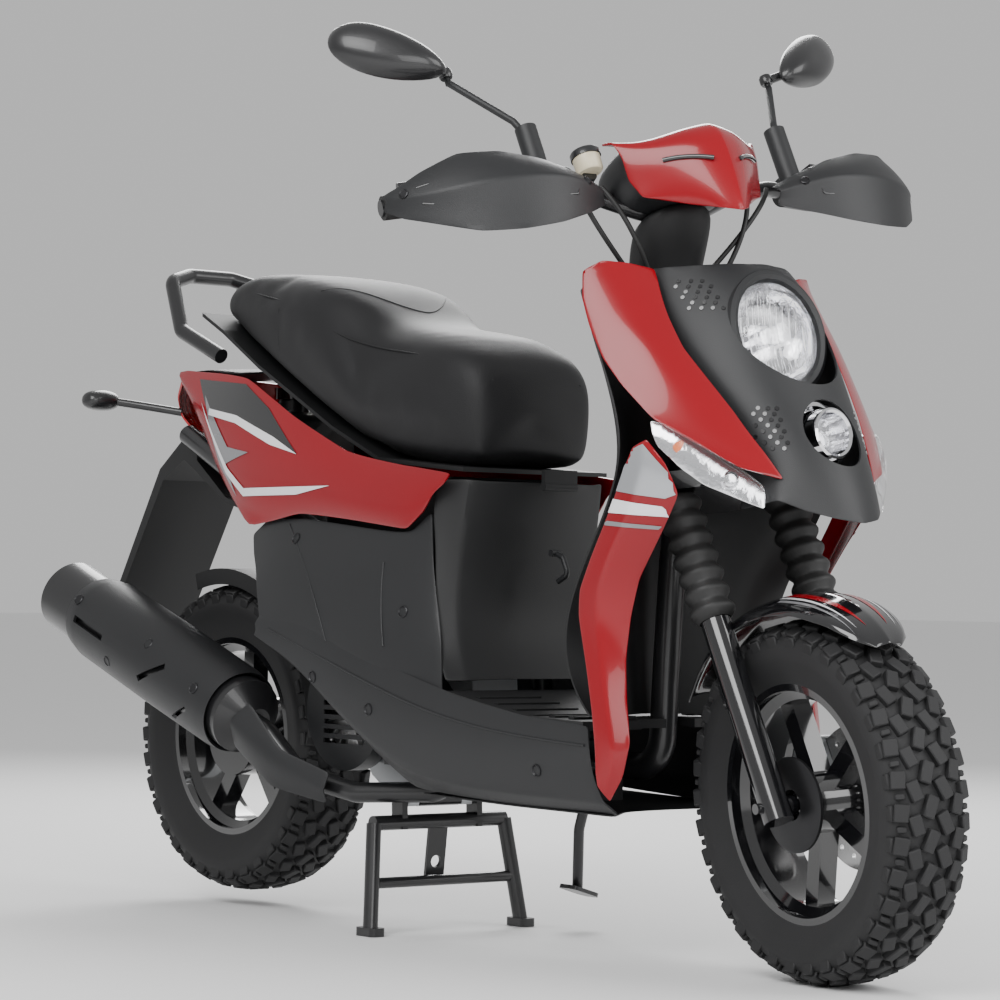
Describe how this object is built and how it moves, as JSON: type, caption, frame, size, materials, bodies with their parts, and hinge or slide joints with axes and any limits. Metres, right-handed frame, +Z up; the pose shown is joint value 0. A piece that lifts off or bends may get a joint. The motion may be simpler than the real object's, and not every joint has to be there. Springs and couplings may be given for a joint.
{
  "type": "moped scooter",
  "caption": "Step-through scooter with a swinging engine and rear wheel, sprung fork, hand guards and a centre stand.",
  "frame": {"origin": "on the floor, under the middle of the scooter as it stands on its centre stand", "axes": "+X towards the front wheel, +Y to the rider's left, +Z up"},
  "size_m": [1.859, 0.8539, 1.3166],
  "materials": {
    "gloss_red": "polished gloss",
    "matte_black": "fine grain",
    "gloss_black": "gloss",
    "satin_black": "satin",
    "seat_vinyl": "grained vinyl",
    "tyre_rubber": "matte",
    "rubber": "matte",
    "clear_lens": "clear",
    "red_lens": "polished gloss",
    "cast_alloy": "as cast",
    "steel": "machined"
  },
  "bodies": {
    "chassis": {"frame_tubes": "satin_black", "front_panels": "gloss_red", "leg_trims": "gloss_red", "front_mask": "matte_black", "headlight": "clear_lens", "spot_lamp": "clear_lens", "front_signals": "clear_lens", "inner_shield": "matte_black", "footboard": "matte_black", "belly_skirt": "matte_black", "seat_front_cover": "matte_black", "side_covers": "matte_black", "tail_panels": "gloss_red", "rear_lamps": "red_lens", "grab_rail": "satin_black", "rear_fender": "matte_black", "storage_box": "matte_black", "fuel_tank": "matte_black", "battery": "matte_black"},
    "seat": {"seat_pan": "matte_black", "seat_cushion": "seat_vinyl"},
    "fuel_cap": {"fuel_cap": "matte_black"},
    "bag_hook": {"bag_hook": "matte_black"},
    "ignition_lock": {"ignition_lock": "steel"},
    "side_stand": {"side_stand": "satin_black"},
    "steering": {"fork_yoke": "gloss_black", "fork_boots": "rubber", "handlebar": "satin_black", "bar_covers": "gloss_red", "bar_controls": "matte_black", "master_cylinder": "matte_black", "handguards": "matte_black"},
    "throttle_grip": {"throttle_grip": "rubber"},
    "brake_lever_right": {"brake_lever_right": "steel"},
    "brake_lever_left": {"brake_lever_left": "steel"},
    "start_button": {"start_button": "matte_black"},
    "mirror_head_right": {"mirror_head_right": "satin_black"},
    "mirror_head_left": {"mirror_head_left": "satin_black"},
    "fork_lower": {"fork_legs": "gloss_black", "front_fender": "gloss_black", "brake_caliper": "steel"},
    "front_wheel": {"front_rim": "gloss_black", "front_tyre": "tyre_rubber", "brake_disc": "steel"},
    "engine": {"engine_case": "cast_alloy", "engine_covers": "matte_black", "cylinder": "cast_alloy", "muffler": "satin_black", "muffler_shield": "matte_black", "intake": "matte_black", "rear_hugger": "matte_black", "drive_belt": "rubber"},
    "crankshaft": {"crankshaft": "steel"},
    "clutch_pulley": {"clutch_pulley": "steel"},
    "centre_stand": {"centre_stand": "satin_black"},
    "rear_wheel": {"rear_rim": "gloss_black", "rear_tyre": "tyre_rubber"},
    "shock_body": {"shock_body": "steel", "shock_spring": "steel"},
    "shock_rod": {"shock_rod": "steel"}
  },
  "joints": [
    {"name": "steering_turn", "type": "hinge", "parent": "chassis", "child": "steering", "pos_m": [0.44778, 0, 0.6858], "axis": [-0.4384, 0, 0.8988], "range_deg": [-26.5, 45.5]},
    {"name": "fork_slide", "type": "slide", "parent": "steering", "child": "fork_lower", "axis": [-0.4384, 0, 0.8988], "range_m": [0, 0.075], "stiffness_N_per_m": 9000, "springref_m": -0.09, "deforming": ["fork_boots"]},
    {"name": "front_wheel_spin", "type": "hinge", "parent": "fork_lower", "child": "front_wheel", "pos_m": [0.69368, -0.00401, 0.2363], "axis": [0.1483, 0.9863, 0.0724], "continuous": true},
    {"name": "engine_swing", "type": "hinge", "parent": "chassis", "child": "engine", "pos_m": [-0.096, 0, 0.262], "axis": [0, 1, 0], "range_deg": [0, 9], "stiffness_Nm_per_rad": 700, "springref_deg": -6.88},
    {"name": "rear_wheel_spin", "type": "hinge", "parent": "engine", "child": "rear_wheel", "pos_m": [-0.596, 0, 0.2658], "axis": [0, 1, 0], "continuous": true},
    {"name": "crank_spin", "type": "hinge", "parent": "engine", "child": "crankshaft", "pos_m": [-0.196, 0, 0.325], "axis": [0, 1, 0], "continuous": true},
    {"name": "clutch_spin", "type": "hinge", "parent": "engine", "child": "clutch_pulley", "pos_m": [-0.526, 0.09, 0.296], "axis": [0, 1, 0], "continuous": true},
    {"name": "centre_stand_fold", "type": "hinge", "parent": "engine", "child": "centre_stand", "pos_m": [-0.126, 0, 0.196], "axis": [0, 1, 0], "range_deg": [0, 66]},
    {"name": "side_stand_fold", "type": "hinge", "parent": "chassis", "child": "side_stand", "pos_m": [0.044, 0.155, 0.24], "axis": [0, 1, 0], "range_deg": [0, 80]},
    {"name": "shock_swing", "type": "hinge", "parent": "chassis", "child": "shock_body", "pos_m": [-0.536, 0.098, 0.65], "axis": [0, 1, 0], "range_deg": [-10, 10]},
    {"name": "shock_slide", "type": "slide", "parent": "shock_body", "child": "shock_rod", "axis": [0.2563, 0, 0.9666], "range_m": [0, 0.09], "deforming": ["shock_spring"]},
    {"name": "seat_lift", "type": "hinge", "parent": "chassis", "child": "seat", "pos_m": [0.146, 0, 0.65], "axis": [0, 1, 0], "range_deg": [0, 56]},
    {"name": "fuel_cap_turn", "type": "hinge", "parent": "chassis", "child": "fuel_cap", "pos_m": [-0.506, 0, 0.8], "axis": [0, 0, 1], "range_deg": [0, 90]},
    {"name": "bag_hook_fold", "type": "hinge", "parent": "chassis", "child": "bag_hook", "pos_m": [0.1396, 0, 0.556], "axis": [0, 1, 0], "range_deg": [-70, 0]},
    {"name": "ignition_key_turn", "type": "hinge", "parent": "chassis", "child": "ignition_lock", "pos_m": [0.354, 0.084, 0.8], "axis": [1, 0, 0], "range_deg": [0, 75]},
    {"name": "throttle_turn", "type": "hinge", "parent": "steering", "child": "throttle_grip", "pos_m": [0.28322, -0.32505, 1.02031], "axis": [-0.3242, -0.9309, -0.1681], "range_deg": [0, 75], "stiffness_Nm_per_rad": 0.4, "springref_deg": -11.46},
    {"name": "right_lever_pull", "type": "hinge", "parent": "steering", "child": "brake_lever_right", "pos_m": [0.34856, -0.26212, 1.05294], "axis": [-0.4384, 0, 0.8988], "range_deg": [-9.5, 0], "stiffness_Nm_per_rad": 3, "springref_deg": 5.73},
    {"name": "left_lever_pull", "type": "hinge", "parent": "steering", "child": "brake_lever_left", "pos_m": [0.42174, 0.22448, 1.08863], "axis": [-0.4384, 0, 0.8988], "range_deg": [0, 9.5], "stiffness_Nm_per_rad": 3, "springref_deg": -5.73},
    {"name": "start_press", "type": "slide", "parent": "steering", "child": "start_button", "axis": [0.8865, -0.165, 0.4324], "range_m": [0, 0.003], "stiffness_N_per_m": 400, "springref_m": -0.002},
    {"name": "right_mirror_tilt", "type": "hinge", "parent": "steering", "child": "mirror_head_right", "pos_m": [0.21693, -0.27292, 1.20294], "axis": [-0.4384, 0, 0.8988], "range_deg": [-15, 15]},
    {"name": "left_mirror_tilt", "type": "hinge", "parent": "steering", "child": "mirror_head_left", "pos_m": [0.29585, 0.25179, 1.24143], "axis": [-0.4384, 0, 0.8988], "range_deg": [-15, 15]}
  ],
  "couplings": [
    {"joint": "clutch_spin", "follows": "crank_spin", "ratio": 0.75},
    {"joint": "shock_swing", "follows": "engine_swing", "ratio": -0.1588},
    {"joint": "shock_slide", "follows": "engine_swing", "m_per_rad": 0.52306}
  ]
}
